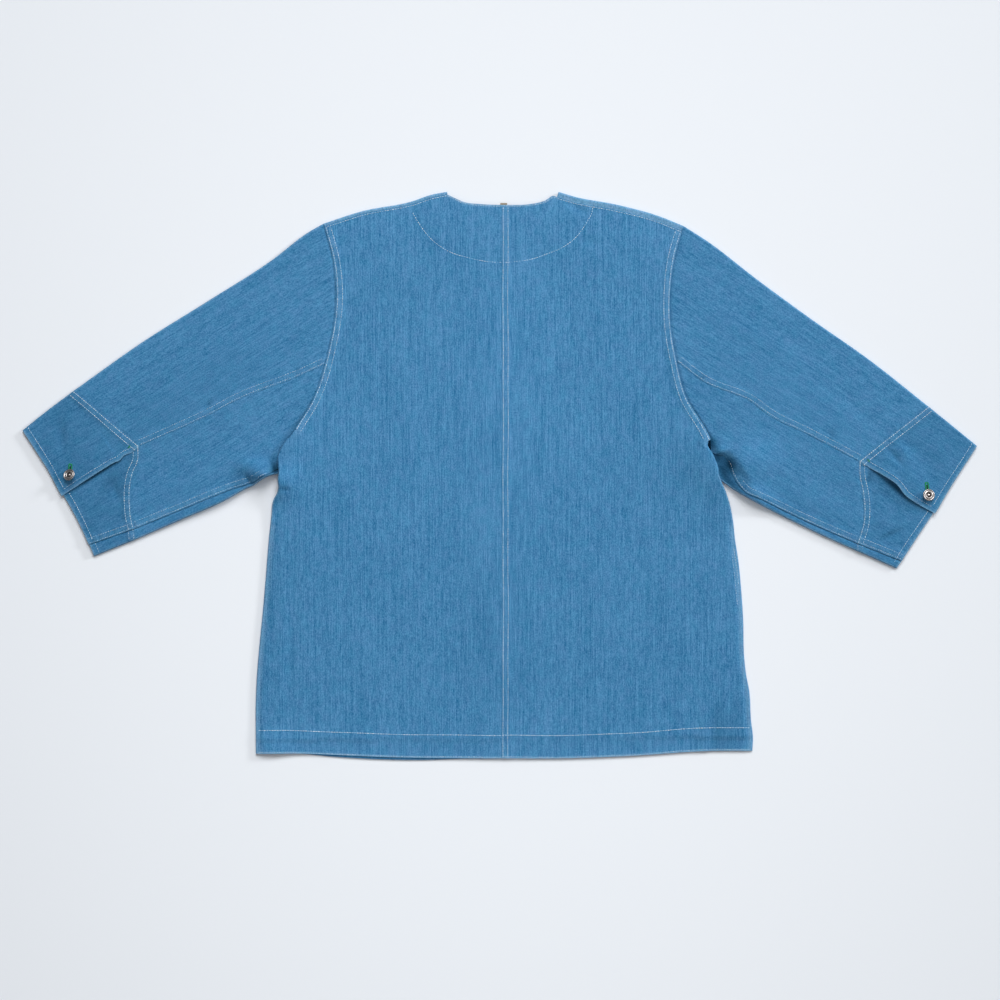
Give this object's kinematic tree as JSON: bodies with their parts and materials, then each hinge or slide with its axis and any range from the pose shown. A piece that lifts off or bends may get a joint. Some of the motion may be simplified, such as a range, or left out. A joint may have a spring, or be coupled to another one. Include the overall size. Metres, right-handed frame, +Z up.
{
  "type": "denim chore jacket",
  "caption": "Collarless light denim chore jacket with three-quarter sleeves and shaped buttoned cuffs, laid flat with its back up.",
  "frame": {"origin": "on the surface that the jacket lies on, at the middle of its outline", "axes": "+X across the jacket towards the wearer's right, +Y from hem to neck, +Z up off the surface, out of the back of the jacket"},
  "size_m": [1.1458, 0.6829, 0.0128],
  "materials": {
    "denim": "washed light indigo cotton twill",
    "button_metal": "antique silver, darkened in the hollows",
    "neck_tape": "plain woven tan tape",
    "topstitch_thread": "off-white cotton sewing thread",
    "buttonhole_thread": "green cotton sewing thread"
  },
  "bodies": {
    "root": {"back_left": "denim", "back_right": "denim", "front_left": "denim", "front_right": "denim", "top_sleeve_left": "denim", "top_sleeve_right": "denim", "under_sleeve_left": "denim", "under_sleeve_right": "denim", "cuff_top_left": "denim", "cuff_top_right": "denim", "cuff_under_left": "denim", "cuff_under_right": "denim", "cuff_button_left": "button_metal", "cuff_button_right": "button_metal", "neck_loop": "neck_tape"}
  },
  "joints": []
}
